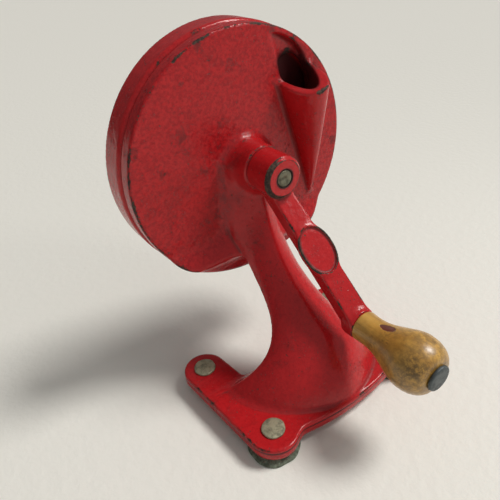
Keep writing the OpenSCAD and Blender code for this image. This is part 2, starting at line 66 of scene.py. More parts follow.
SPINDLE_R, HUB_R, HUB_LEN, HUB_BEVEL = 4.5, 11.5, 17.5, 1.8
CRANK_LEN, CRANK_REST = 75.6, 10.0
ARM_W, ARM_END_W, ARM_T, ARM_AT, ARM_END_AT = 12.0, 13.9, 9.5, -2.5, 2.3
PANEL_L, PANEL_W, PANEL_AT, PANEL_T, PANEL_EDGE_W = 15.0, 9.9, 0.54, 3.0, 1.2
EYE_R, EYE_T = 8.5, 7.5
HANDLE_Y, HANDLE_LEN = 79.5, 47.0
GRIP_R, WAIST_IN, BULB_R, BULB_AT, NOSE_R, PIN_R = 8.5, 1.9, 15.3, 0.72, 7.6, 3.0
CAP_R, CAP_T = 7.0, 2.0
STUB_R, STUB_OVER, WASHER_T, NUT_T = 3.8, 1.5, 1.5, 5.0
FOOT_H, FOOT_R, REAR_FOOT_R, FOOT_CUP_R = 5.2, 15.0, 9.5, 6.0
RIVET_R, RIVET_H = 6.6, 1.6
SIDE_GAP = 0.3
DROP = AXIS_H - FOOT_H - BASE_T
FACE_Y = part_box("spindle")[0][1] * 1000 + BOSS_OUT + SIDE_GAP + HUB_LEN
ORIGIN = np.array([0.0, FACE_Y, AXIS_H])


def place(points):
    """Local millimetres to the row frame's metres."""
    return (np.asarray(points, float) + ORIGIN) / 1000.0


# Solids are written as signed distances on a grid and then meshed
class Field:
    """A box of space on which solids are written as signed distances."""

    def __init__(self, low, high, step):
        self.low, self.step = np.array(low, np.float32), step
        counts = [int((b - a) / step) + 2 for a, b in zip(low, high)]
        axes = [a + step * np.arange(n, dtype=np.float32)
                for a, n in zip(low, counts)]
        self.x = axes[0][:, None, None]
        self.y = axes[1][None, :, None]
        self.z = axes[2][None, None, :]


def blend(a, b, k):
    """Union of two solids with a fillet of about k."""
    h = np.maximum(k - np.abs(a - b), 0) / k
    return np.minimum(a, b) - h * h * k * 0.25


def carve(a, b, k=0.6):
    """a without b, with the edge rounded by about k."""
    return -blend(-a, b, k)


def meet(a, b, k=0.6):
    """What a and b share, with the edge rounded by about k."""
    return -blend(-a, -b, k)


def smooth_path(p, t):
    """Point on a cubic curve through its first and last control point."""
    p = np.asarray(p, float)
    t = np.asarray(t, float)[..., None] if p.ndim > 1 else np.asarray(t, float)
    return ((1 - t) ** 3 * p[0] + 3 * (1 - t) ** 2 * t * p[1]
            + 3 * (1 - t) * t ** 2 * p[2] + t ** 3 * p[3])


def true_distance(f, step):
    """Divides a shape function by its slope, so that it measures distance."""
    gx, gy, gz = np.gradient(f, step)
    slope = np.sqrt(gx * gx + gy * gy + gz * gz)
    return f / np.maximum(slope, 0.05)


def round_box(dx, dy, r):
    """Corner of two half-spaces with radius r."""
    dx, dy = dx + r, dy + r
    out = np.sqrt(np.maximum(dx, 0) ** 2 + np.maximum(dy, 0) ** 2)
    return out + np.minimum(np.maximum(dx, dy), 0) - r


def two_round_bar(x, y, p, rp, q, rq):
    """Plan of a bar whose straight sides touch two circles."""
    d = (q[0] - p[0], q[1] - p[1])
    l = hypot(*d)
    u = (d[0] / l, d[1] / l)
    along = (x - p[0]) * u[0] + (y - p[1]) * u[1]
    across = np.abs((x - p[0]) * u[1] - (y - p[1]) * u[0])
    b = (rp - rq) / l
    a = sqrt(1 - b * b)
    k = along * a - across * b
    return np.where(k < 0, np.hypot(along, across) - rp,
                    np.where(k > a * l, np.hypot(along - l, across) - rq,
                             across * a + along * b - rp))


def surface_net(f, field):
    """Quads over the zero surface of f, one vertex in each crossed cell."""
    inside = f < 0
    corners = [f[i:f.shape[0] - 1 + i, j:f.shape[1] - 1 + j, k:f.shape[2] - 1 + k]
               for i in (0, 1) for j in (0, 1) for k in (0, 1)]
    signs = sum((c < 0).astype(np.uint8) for c in corners)
    active = (signs > 0) & (signs < 8)
    cell = np.argwhere(active)
    index = np.full(active.shape, -1, np.int32)
    index[active] = np.arange(len(cell))
    values = np.stack([c[active] for c in corners], 1)
    offsets = np.array([(i, j, k) for i in (0, 1) for j in (0, 1) for k in (0, 1)], float)
    total = np.zeros((len(cell), 3))
    count = np.zeros((len(cell), 1))
    for a in range(8):
        for b in range(a + 1, 8):
            if np.abs(offsets[a] - offsets[b]).sum() != 1:
                continue
            fa, fb = values[:, a], values[:, b]
            cut = (fa < 0) != (fb < 0)
            t = np.where(cut, fa / np.where(cut, fa - fb, 1), 0)[:, None]
            total += cut[:, None] * (offsets[a] + t * (offsets[b] - offsets[a]))
            count += cut[:, None]
    points = field.low + field.step * (cell + total / count)
    quads = []
    for axis in range(3):
        u, v = [n for n in range(3) if n != axis]
        low = [slice(None)] * 3
        high = [slice(None)] * 3
        low[axis], high[axis] = slice(0, -1), slice(1, None)
        for n in (u, v):
            low[n] = high[n] = slice(1, -1)
        a, b = inside[tuple(low)], inside[tuple(high)]
        edge = np.argwhere(a != b)
        first = a[a != b]
        edge[:, u] += 1
        edge[:, v] += 1
        ring = []
        for du, dv in ((-1, -1), (0, -1), (0, 0), (-1, 0)):
            c = edge.copy()
            c[:, u] += du
            c[:, v] += dv
            ring.append(index[c[:, 0], c[:, 1], c[:, 2]])
        ring = np.stack(ring, 1)
        turn = first if axis != 1 else ~first
        ring[~turn] = ring[~turn][:, ::-1]
        quads.append(ring)
    return points, np.concatenate(quads)


def sample(grid, field, points):
    """Value of a grid at points between its nodes."""
    p = (points - field.low) / field.step
    i = np.clip(p.astype(int), 0, np.array(grid.shape) - 2)
    t = p - i
    out = 0
    for a in (0, 1):
        for b in (0, 1):
            for c in (0, 1):
                w = ((t[:, 0] if a else 1 - t[:, 0]) * (t[:, 1] if b else 1 - t[:, 1])
                     * (t[:, 2] if c else 1 - t[:, 2]))
                out = out + w * grid[i[:, 0] + a, i[:, 1] + b, i[:, 2] + c]
    return out


def solid_from_field(name, f, field, turn=None, shade_and_seam=0, wear=0, skin=0):
    """Smooth mesh of a field with true normals.

    It carries the edges' sharpness, painted shade that darkens its openings and
    recesses, how much more or less its enamel has worn than its edges tell, and
    how coarse the casting's skin is under the enamel.
    """
    points, quads = surface_net(f, field)
    slopes = np.gradient(f, field.step)
    size = np.sqrt(sum(g * g for g in slopes)) + 1e-6
    unit = [g / size for g in slopes]
    bend = sum(np.gradient(unit[n], field.step, axis=n) for n in range(3))
    for _ in range(2):
        value = sample(f, field, points)
        grad = np.stack([sample(g, field, points) for g in slopes], 1)
        points = points - grad * (value / np.maximum((grad ** 2).sum(1), 0.05))[:, None]
    normal = np.stack([sample(g, field, points) for g in unit], 1)
    normal /= np.linalg.norm(normal, axis=1)[:, None] + 1e-9
    marks = {"sharp": sample(bend, field, points)}
    # the first mark is painted shade: openings and recesses are darkened towards black in the enamel
    for key, value in (("shade_and_seam", shade_and_seam), ("wear", wear), ("skin", skin)):
        marks[key] = sample(value + 0 * f, field, points)
    if turn is not None:
        points, normal = points @ turn.T, normal @ turn.T
    mesh = bpy.data.meshes.new(name)
    mesh.from_pydata(place(points).tolist(), [], quads.tolist())
    mesh.polygons.foreach_set("use_smooth", [True] * len(mesh.polygons))
    for key, values in marks.items():
        attribute = mesh.attributes.new(key, "FLOAT", "POINT")
        attribute.data.foreach_set("value", values.astype(np.float32))
    mesh.update()
    mesh.normals_split_custom_set_from_vertices(normal.tolist())
    return link(name, mesh)


def link(name, mesh):
    obj = bpy.data.objects.new(name, mesh)
    bpy.context.scene.collection.objects.link(obj)
    return obj


# Body casting: the neck's ridge and back edge are curves in the plane of
# symmetry, as (y, z), and its half width goes from neck through waist to skirt
RIDGE = [(-14, -2), (-13.3, -0.59 * DROP),
         (12.3 - BASE_REACH, -0.642 * DROP), (1.3 - BASE_REACH, -DROP)]
BACK = [(4, -2), (17.9, -0.636 * DROP),
        (-NOTCH_Y - 40.7, -0.607 * DROP), (0.5 - NOTCH_Y, -DROP)]
HALF_1 = NECK_HALF + 7.5
HALF_2 = (8 * WAIST_HALF - NECK_HALF - 3 * HALF_1 - SKIRT_HALF) / 3
HALF = [NECK_HALF, HALF_1, HALF_2, SKIRT_HALF]


def neck_shape(g):
    """Neck and skirt: level sections between the ridge and the back edge."""
    t = np.linspace(0, 1, 401)
    front, back = smooth_path(RIDGE, t), smooth_path(BACK, t)
    length = np.linalg.norm(front - back, axis=1)
    along = (front - back) / length[:, None]
    y, z = np.broadcast_arrays(g.y[0], g.z[0])
    tilt = along[:, 1] / -along[:, 0]
    at = np.empty(y.shape)
    for row, here in enumerate(g.y.ravel()):
        # depth at which each section passes this distance forward
        reach = np.clip(back[:, 0] - here, -4, length + 4)
        down = np.maximum.accumulate(-back[:, 1] - reach * tilt)
        at[row] = np.interp(-g.z.ravel(), down, t)
    f, b = smooth_path(RIDGE, at), smooth_path(BACK, at)
    l = np.linalg.norm(f - b, axis=-1)
    u = (f - b) / l[..., None]
    w = 0.26 - 0.18 * at
    s = (y - b[..., 0]) * u[..., 0] + (z - b[..., 1]) * u[..., 1] - l * w
    half = smooth_path(HALF, at)
    flank = (2 / (1.61 - 0.29 * at))[None]
    width = np.abs(g.x) / half[None]
    front_q = np.abs(s / (l * (1 - w)))[None] ** 2
    back_q = np.abs(s / (l * w))[None] ** 5
    gauge = np.where((s > 0)[None], (width ** flank + front_q) ** (1 / flank),
                     np.sqrt(width ** 2 + back_q))
    size = np.minimum(half, l * (1 - w))[None]
    shape = true_distance(((gauge - 1) * size).astype(np.float32), g.step)
    return np.maximum(shape, (z + 2)[None])


def base_shape(g):
    """Foot plate: four lobes, two side bars and a bowed front edge."""
    x, y = np.abs(g.x[:, :, 0]), g.y[:, :, 0]
    bars = two_round_bar(x, y, REAR_FOOT, REAR_LOBE, FRONT_FOOT, FRONT_LOBE)
    bow = np.hypot(x, y - BASE_BOW + BASE_REACH) - BASE_BOW
    middle = np.maximum(np.maximum(bow, x - FRONT_FOOT[0]), y + NOTCH_Y)
    plan = blend(bars, middle, 5.0)
    rise = np.abs(g.z + DROP + BASE_T / 2) - BASE_T / 2
    return round_box(plan[:, :, None], rise, 1.1)


def turned(g, point, slope, lean):
    """Distances from a point along three axes turned by a slope and a lean."""
    p, q = radians(slope), radians(lean)
    x, y, z = g.x - point[0], g.y - point[1], g.z - point[2]
    side = x * cos(q) - y * sin(q) * sin(p) + z * sin(q) * cos(p)
    up = y * cos(p) + z * sin(p)
    along = -x * sin(q) - y * cos(q) * sin(p) + z * cos(q) * cos(p)
    return side, up, along


def chute_shape(g):
    """Outside of the chute: a rounded wedge whose right side runs straight down."""
    s = np.clip((CHUTE_TOP - g.z) / CHUTE_LEN, -0.2, 1)
    half = (CHUTE_HALF - 0.8) * (1 - s) + 0.8
    out = CHUTE_OUT * (1 - s) ** 0.85 + 0.4
    forward = np.maximum(-g.y, 0) / out
    middle = CHUTE_X + CHUTE_HALF + half * (CHUTE_SKEW * np.minimum(forward, 1) ** 2 - 1)
    aside = (g.x - middle) / half
    gauge = np.where(aside > 0, np.abs(aside) ** 2.2, aside ** 2) + forward ** 3
    size = np.minimum(half, out)
    shape = true_distance(((gauge ** 0.4 - 1) * size).astype(np.float32), g.step)
    rise, side = tan(radians(LIP_SLOPE)), tan(radians(LIP_TILT))
    above = (g.z - CHUTE_TOP - side * (g.x - CHUTE_X) - rise * g.y)
    above = above / sqrt(1 + side * side + rise * rise)
    below = (CHUTE_TOP - CHUTE_LEN) - g.z
    beside = np.abs(g.x - CHUTE_X) - CHUTE_HALF - 3
    shape = np.maximum(shape, np.maximum(beside, -CHUTE_OUT - 3 - g.y))
    return np.maximum(meet(shape, above, 1.0), np.maximum(below, g.y - 3))


def feed_passage(g):
    """Endless egg-shaped passage that slopes down through the chute to the knives."""
    side, up, _ = turned(g, (CHUTE_X - 0.4, -FEED_OUT, CHUTE_TOP + 2.9),
                         FEED_SLOPE, FEED_LEAN)
    level = up / FEED_RISE
    half = FEED_HALF * (1 + FEED_TAPER * np.clip(level, -1.4, 1.4))
    gauge = np.abs(side + FEED_SKEW * up) / half
    gauge = (gauge ** 2.3 + np.abs(level) ** 2.3) ** (1 / 2.3)
    return ((gauge - 1) * FEED_HALF).astype(np.float32)


def scoop(g):
    """Shallow run from the rim to the passage, with a steep right side."""
    deepest = 4.0
    wide = deepest + SCOOP_W / 2 - 0.7
    radius = (wide ** 2 + SCOOP_DEPTH ** 2) / (2 * SCOOP_DEPTH)
    side, up, along = turned(g, (CHUTE_X - 3.8, 0, CHUTE_TOP + 10.5),
                             SCOOP_SLOPE, SCOOP_LEAN)
    round_floor = np.hypot(side - deepest, up + radius - SCOOP_DEPTH) - radius
    ends = np.maximum(np.sqrt(g.x ** 2 + g.z ** 2) - PLATE_R + 3.0, -along - 9)
    run = np.maximum(round_floor, side - SCOOP_W / 2 - 0.7)
    return meet(run, ends, 3.0)


def body_casting():
    g = Field((-70.8, -94.4, -DROP - BASE_T - 2), (70.8, 11.4, PLATE_R + 2), 0.8)
    r = np.sqrt(g.x ** 2 + g.z ** 2)
    plate = round_box(r - PLATE_R, np.abs(g.y - RIM_DEPTH / 2) - RIM_DEPTH / 2, RIM_ROUND)
    boss = round_box(r - BOSS_R, np.maximum(-BOSS_OUT - g.y, g.y - RIM_DEPTH), 0.8)
    neck = neck_shape(g)
    front = carve(plate, round_box(r - (PLATE_R - RIM_T), PLATE_T - g.y, 1.0))
    front = carve(front, scoop(g), 0.8)
    solid = blend(front, neck, np.clip(10 - g.y, 8, 16))
    solid = blend(solid, boss, BOSS_FILLET)
    solid = blend(solid, chute_shape(g), 3.0)
    base = base_shape(g)
    inner = np.maximum(neck + SKIRT_WALL, g.z + 0.6 * DROP)
    base = carve(base, neck + SKIRT_WALL, 1.0)
    solid = np.maximum(solid, -DROP - BASE_T / 2 - g.z)
    solid = blend(carve(solid, inner, 1.0), base, 2.5)
    solid = np.maximum(solid, -DROP - BASE_T - g.z)
    feed = feed_passage(g)
    solid = carve(solid, feed, 1.0)
    solid = carve(solid, np.maximum(r - SPINDLE_R - 0.1, g.y - RIM_DEPTH - 1), 0.4)
    wear = 0.15 * (r > PLATE_R - 3) * (g.y < 3)
    wear = wear - 0.25 * (g.y < -1) * (g.z > 0) * (g.x > 20) - 0.2 * (g.z < 1 - DROP)
    below_lip = ((g.x - 38) / 4) ** 2 + ((g.y + 20) / 5) ** 2 + ((g.z - 32) / 4) ** 2
    wear = wear + 0.6 * np.clip(1.5 - below_lip, 0, 1)
    # painted shade: the walls of the feed passage are darkened towards black
    shade_and_seam = np.clip(1 - feed / 1.2, 0, 1)
    skin = np.clip(0.35 + (g.y + 5) / 5, 0.35, 1) * np.clip((8 - g.y) / 3, 0.35, 1)
    return solid_from_field("casting", solid, g, None, shade_and_seam, wear, skin)


def crank_arm():
    g = Field((-14, -HANDLE_Y - 3, -CRANK_LEN - 10), (14, -14, 14), 0.45)
    r = np.sqrt(g.x ** 2 + g.z ** 2)
    rear = -BOSS_OUT - SIDE_GAP
    front = rear - HUB_LEN
    hub = round_box(r - HUB_R, np.maximum(front - g.y, g.y - rear), 0.5)
    hub = np.maximum(hub, (r - HUB_R + front - g.y + HUB_BEVEL) * sqrt(0.5))
    mid = BOSS_OUT + SIDE_GAP + ARM_AT
    lean = atan2(HANDLE_Y - ARM_END_AT - mid, CRANK_LEN)
    length = hypot(HANDLE_Y - ARM_END_AT - mid, CRANK_LEN)
    down = -((g.y + mid) * sin(lean) + g.z * cos(lean))
    out = -(g.y + mid) * cos(lean) + g.z * sin(lean)
    bar = two_round_bar(g.x, down, (0, 0), ARM_W / 2, (0, length), ARM_END_W / 2)
    centre = length * PANEL_AT
    oval = np.sqrt((g.x / PANEL_W) ** 2 + (np.abs(down - centre) / PANEL_L) ** 2.2)
    oval = (oval - 1) * PANEL_W
    arm = round_box(bar, np.abs(out) - ARM_T / 2, 1.2)
    wing = round_box(oval, np.abs(out - (ARM_T - PANEL_T) / 2) - PANEL_T / 2, 0.9)
    arm = blend(arm, wing, 2.0)
    arm = carve(arm, np.maximum(oval + PANEL_EDGE_W, ARM_T / 2 - 0.45 - out), 0.4)
    bead = np.hypot(oval + PANEL_EDGE_W / 2 + 0.1, out - ARM_T / 2 + 0.1) - 0.6
    arm = blend(arm, bead, 0.4)
    eye_r = np.hypot(g.x, g.z + CRANK_LEN)
    eye = round_box(eye_r - EYE_R, np.abs(g.y + HANDLE_Y - EYE_T / 2) - EYE_T / 2, 0.8)
    arm = carve(arm, np.maximum(eye_r - EYE_R - 6, g.y + HANDLE_Y), 0.6)
    solid = blend(blend(hub, arm, 2.5), eye, 2.5)
    solid = np.maximum(solid, g.y - rear)
    solid = carve(solid, r - SPINDLE_R - 0.1, 0.4)
    solid = np.maximum(solid, -np.maximum(r - HUB_R - 3, g.y - front))
    a = radians(CRANK_REST)
    turn = np.array([[cos(a), 0, -sin(a)], [0, 1, 0], [sin(a), 0, cos(a)]])
    # painted shade round the spindle: the hub's bore and the ring about it are darkened towards black
    bore_shade = np.clip(1.6 - np.abs(r - SPINDLE_R), 0, 1) + 0 * g.y
    rim = (r > HUB_R - 2.0) * (r < HUB_R + 1) * (g.y < front + 1.9)
    left = np.clip(0.5 - 0.9 * g.x / HUB_R, 0, 1)
    wear = (0.1 + 1.2 * left) * rim - 0.1 * (r > HUB_R + 1)
    return solid_from_field("crank", solid, g, turn, bore_shade, wear, 0.25)


def cutter_wheel():
    front = RIM_DEPTH + SIDE_GAP
    back = front + WHEEL_DEPTH
    g = Field((-71.2, front - 1.5, -71.2), (71.2, back + 1.5, 71.2), 0.75)
    r = np.sqrt(g.x ** 2 + g.z ** 2)
    drum = round_box(r - WHEEL_R, front - g.y, WHEEL_ROUND)
    drum = meet(drum, g.y - back, 1.4)
    cup = round_box(r - WHEEL_R + WHEEL_RIM_T, front + DISC_T - g.y, 2.5)
    solid = carve(drum, cup, 1.4)
    hub = round_box(r - WHEEL_HUB_R, g.y - front - DISC_T - WHEEL_HUB_OUT, 1.0)
    hub = np.maximum(hub, front + 1 - g.y)
    solid = blend(solid, hub, 3.0)
    radius = SLOT_W / 2
    span = KNIFE_LEN / 2 - radius - 2
    across = KNIFE_W / 2 - EDGE_OVER + radius
    slant = radians(KNIFE_SLANT)
    for n in range(KNIVES):
        a = 2 * pi * n / KNIVES
        x = g.x * cos(a) - g.z * sin(a) - KNIFE_AT
        z = g.x * sin(a) + g.z * cos(a)
        u, v = x * cos(slant) + z * sin(slant), z * cos(slant) - x * sin(slant)
        slot = np.hypot(np.maximum(np.abs(u) - span, 0), v - across) - radius
        solid = carve(solid, slot + 0 * g.y, 0.8)
    solid = carve(solid, r - SPINDLE_R - 0.05 + 0 * g.y, 0.4)
    # painted shade: the wheel's front face inside the housing is darkened towards black
    front_face_shade = np.clip(front + 1 - g.y, 0, 1) * np.clip(WHEEL_R - 8 - r, 0, 1)
    return solid_from_field("wheel", solid, g, None, front_face_shade, 0, 0.5)


# Turned pieces: a profile of (radius, distance forward) or (radius, height)
def lathe(name, profile, centre, axis="y", steps=96, wobble=None):
    """Turns (radius, forward or height) points about a line; rounds nothing."""
    rings = len(profile)
    points = []
    for radius, along in profile:
        for k in range(steps):
            q = 2 * pi * k / steps
            shift = wobble(q, radius, along) if wobble else 0
            c, s = (radius + shift) * cos(q), (radius + shift) * sin(q)
            points.append((c, -along, s) if axis == "y" else (c, s, along))
    quads = []
    for i in range(rings - 1):
        for k in range(steps):
            m = (k + 1) % steps
            quads.append((i * steps + k, i * steps + m, (i + 1) * steps + m, (i + 1) * steps + k))
    mesh = bpy.data.meshes.new(name)
    mesh.from_pydata(place(np.array(points) + centre).tolist(), [], quads)
    b = bmesh.new()
    b.from_mesh(mesh)
    bmesh.ops.remove_doubles(b, verts=b.verts, dist=1e-6)
    bmesh.ops.recalc_face_normals(b, faces=b.faces)
    b.to_mesh(mesh)
    b.free()
    mesh.polygons.foreach_set("use_smooth", [True] * len(mesh.polygons))
    return link(name, mesh)


def arc(cx, cy, r, start, stop, steps=6):
    """Points of an arc, from one angle to another in degrees."""
    return [(cx + r * cos(radians(start + (stop - start) * k / steps)),
             cy + r * sin(radians(start + (stop - start) * k / steps)))
            for k in range(steps + 1)]


def pin_centre():
    a = radians(CRANK_REST)
    return np.array([CRANK_LEN * sin(a), 0, -CRANK_LEN * cos(a)])


def wooden_handle():
    start = HANDLE_Y + SIDE_GAP
    profile = [(PIN_R + 0.2, start)] + arc(GRIP_R - 0.9, start + 0.9, 0.9, 270, 360)
    for k in range(2, 61):
        s = k / 60
        if s < BULB_AT:
            t = s / BULB_AT
            radius = GRIP_R + (BULB_R - GRIP_R) * (1 - cos(pi * t)) / 2
            radius -= WAIST_IN * sin(pi * t) ** 1.5
        else:
            rest = max(0, 1 - ((s - BULB_AT) / (1 - BULB_AT)) ** 2.2)
            radius = NOSE_R + (BULB_R - NOSE_R) * sqrt(rest)
        profile.append((radius, start + HANDLE_LEN * s))
    profile.append((PIN_R + 0.2, start + HANDLE_LEN))
    return lathe("handle", profile, pin_centre(), steps=128)


def spindle():
    """Shaft with a chamfered, centre-drilled front end and a threaded rear."""
    front = BOSS_OUT + SIDE_GAP + HUB_LEN
    wheel_back = -(RIM_DEPTH + SIDE_GAP + DISC_T + WHEEL_HUB_OUT)
    end = wheel_back - WASHER_T - NUT_T - STUB_OVER
    profile = [(0, end), (STUB_R - 0.6, end)]
    pitch, depth = 1.25, 0.35
    at = end + 0.6
    while at < wheel_back - 0.5:
        profile += [(STUB_R - depth, at), (STUB_R, at + pitch / 2)]
        at += pitch
    profile += [(STUB_R, wheel_back + 0.5), (SPINDLE_R, wheel_back + 0.5),
                (SPINDLE_R, front - 0.5), (SPINDLE_R - 0.25, front - 0.12),
                (SPINDLE_R - 0.5, front), (1.1, front), (0.8, front - 0.3), (0, front - 0.6)]
    return lathe("shaft", profile, np.zeros(3), steps=72)


def handle_pin():
    back = HANDLE_Y - EYE_T
    rear = HANDLE_Y + HANDLE_LEN + 2 * SIDE_GAP
    profile = [(0, back - 1.0), (2.4, back - 0.9), (3.7, back - 0.5), (4.4, back),
               (PIN_R, back), (PIN_R, rear), (CAP_R - 0.3, rear)]
    profile += arc(CAP_R - 0.5, rear + 0.5, 0.5, 300, 360, 3)
    profile += arc(CAP_R - 0.9, rear + CAP_T - 1.0, 0.9, 0, 75, 5)
    profile += [(CAP_R - 2.2, rear + CAP_T - 0.03), (2.0, rear + CAP_T), (0, rear + CAP_T)]
    return lathe("pin", profile, pin_centre(), steps=72)


def waver(phase, size):
    """Slow unevenness round a turned piece, as a function of the angle."""
    def shift(q, radius, height):
        return size * (0.5 * sin(2 * q + phase) + 0.3 * sin(5 * q + 2.3 * phase)
                       + 0.2 * sin(9 * q + 4.1 * phase)) * min(1, radius / 6)
    return shift


def foot(name, place_at, radius, phase):
    """Perished rubber foot: a shallow bell with an uneven, rounded hem."""
    top, cup = radius * 0.67, min(FOOT_CUP_R, radius - 4.5)
    flare = radius - top
    profile = [(2.5, FOOT_H), (top - 0.6, FOOT_H), (top, FOOT_H - 0.5)]
    profile += [(top + flare * t ** 2.2, FOOT_H - 0.6 - 3.4 * t) for t in (0.2, 0.4, 0.6, 0.8, 1.0)]
    profile += [(radius + 0.35 - 0.9, 0.75), (radius - 0.6, 0.3), (radius - 1.2, 0.0)]
    profile += [(cup + 0.5, 0.0), (cup, 0.4), (cup, 2.8), (2.5, 2.8)]
    profile = [(min(r, radius - 0.45), h) for r, h in profile]
    centre = np.array([*place_at, -DROP - BASE_T - FOOT_H])
    return lathe(name, profile, centre, "z", 96, waver(phase, 0.8))


def rivet(name, place_at, phase):
    """Hammered rivet head, a low dome that isn't quite round."""
    head = [(RIVET_R - 0.3, 0.0), (RIVET_R - 0.12, 0.3), (RIVET_R - 0.12, 0.9),
            (RIVET_R - 0.3, 1.15), (RIVET_R - 0.7, 1.3), (RIVET_R * 0.7, 1.42),
            (RIVET_R * 0.4, 1.53), (RIVET_R * 0.15, RIVET_H - 0.02), (0, RIVET_H)]
    tail = -BASE_T - 2.4
    profile = [(0, tail - 1.2), (4.0, tail - 1.2), (4.5, tail - 0.7), (4.5, tail), (2.4, tail)]
    profile += [(2.4, 0.0)] + head
    centre = np.array([*place_at, -DROP])
    return lathe(name, profile, centre, "z", 72, waver(phase, 0.22))


# Materials
class Nodes:
    """Short names for building a material's node tree."""

    def __init__(self, name):
        self.material = bpy.data.materials.new(name)
        self.material.use_nodes = True
        self.tree = self.material.node_tree
        self.shader = self.tree.nodes["Principled BSDF"]
        self.place = self.tree.nodes.new("ShaderNodeTexCoord").outputs["Object"]

    def add(self, kind, **values):
        node = self.tree.nodes.new("ShaderNode" + kind)
        for key, value in values.items():
            setattr(node, key, value)
        return node

    def join(self, source, target):
        self.tree.links.new(source, target)

    def noise(self, scale, detail=4, rough=0.55, stretch=(1, 1, 1)):
        mapping = self.add("Mapping")
        mapping.inputs["Scale"].default_value = stretch
        self.join(self.place, mapping.inputs["Vector"])
        node = self.add("TexNoise")
        self.join(mapping.outputs[0], node.inputs["Vector"])
        node.inputs["Scale"].default_value = scale
        node.inputs["Detail"].default_value = detail
        node.inputs["Roughness"].default_value = rough
        return node.outputs["Fac"]

    def spots(self, scale):
        node = self.add("TexVoronoi")
        self.join(self.place, node.inputs["Vector"])
        node.inputs["Scale"].default_value = scale
        return node.outputs["Distance"]

    def math(self, operation, a, b=None):
        node = self.add("Math", operation=operation)
        for n, value in enumerate((a, b)):
            if value is None:
                continue
            if isinstance(value, (int, float)):
                node.inputs[n].default_value = value
            else:
                self.join(value, node.inputs[n])
        return node.outputs[0]

    def ramp(self, source, low, high):
        node = self.add("MapRange", interpolation_type="SMOOTHSTEP")
        self.join(source, node.inputs["Value"])
        node.inputs["From Min"].default_value = low
        node.inputs["From Max"].default_value = high
        return node.outputs["Result"]

    def colour(self, factor, a, b):
        node = self.add("Mix", data_type="RGBA")
        self.join(factor, node.inputs["Factor"])
        for n, value in ((6, a), (7, b)):
            if isinstance(value, tuple):
                node.inputs[n].default_value = (*value, 1)
            else:
                self.join(value, node.inputs[n])
        return node.outputs[2]

    def value(self, factor, a, b):
        node = self.add("Mix", data_type="FLOAT")
        self.join(factor, node.inputs["Factor"])
        node.inputs[2].default_value = a
        node.inputs[3].default_value = b
        return node.outputs[0]

    def place_axis(self, axis):
        node = self.add("SeparateXYZ")
        self.join(self.place, node.inputs[0])
        return node.outputs[axis]

    def seam(self, height, width):
        """A thin broken line round the upright faces at a height in metres."""
        waver = self.math("MULTIPLY", self.math("SUBTRACT", self.noise(60, 3), 0.5), 0.0016)
        away = self.math("ABSOLUTE", self.math("SUBTRACT", self.place_axis("Z"), height))
        away = self.math("ABSOLUTE", self.math("ADD", away, waver))
        normal = self.add("SeparateXYZ")
        self.join(self.add("TexCoord").outputs["Normal"], normal.inputs[0])
        upright = self.ramp(self.math("ABSOLUTE", normal.outputs["Z"]), 0.6, 0.3)
        return self.math("MULTIPLY", self.ramp(away, width, width * 0.3), upright)

    def patch(self, centre, half):
        """A small ragged oval spot, in metres."""
        spot = self.add("Mapping", vector_type="TEXTURE")
        spot.inputs["Location"].default_value = centre
        spot.inputs["Scale"].default_value = half
        self.join(self.place, spot.inputs["Vector"])
        length = self.add("VectorMath", operation="LENGTH")
        self.join(spot.outputs[0], length.inputs[0])
        ragged = self.math("MULTIPLY", self.noise(500, 4), 0.5)
        return self.ramp(self.math("ADD", length.outputs["Value"], ragged), 1.3, 1.15)

    def bump(self, *layers):
        """Layers of (height, distance in metres), or with a strength as well."""
        last = None
        for height, distance, *strength in layers:
            node = self.add("Bump")
            node.inputs["Distance"].default_value = distance
            self.join(height, node.inputs["Height"])
            if strength:
                self.join(strength[0], node.inputs["Strength"])
            if last:
                self.join(last, node.inputs["Normal"])
            last = node.outputs[0]
        self.join(last, self.shader.inputs["Normal"])

    def set(self, **values):
        for key, value in values.items():
            socket = self.shader.inputs[key.replace("_", " ")]
            if isinstance(value, tuple):
                socket.default_value = (*value, 1)
            elif isinstance(value, (int, float)):
                socket.default_value = value
            else:
                self.join(value, socket)


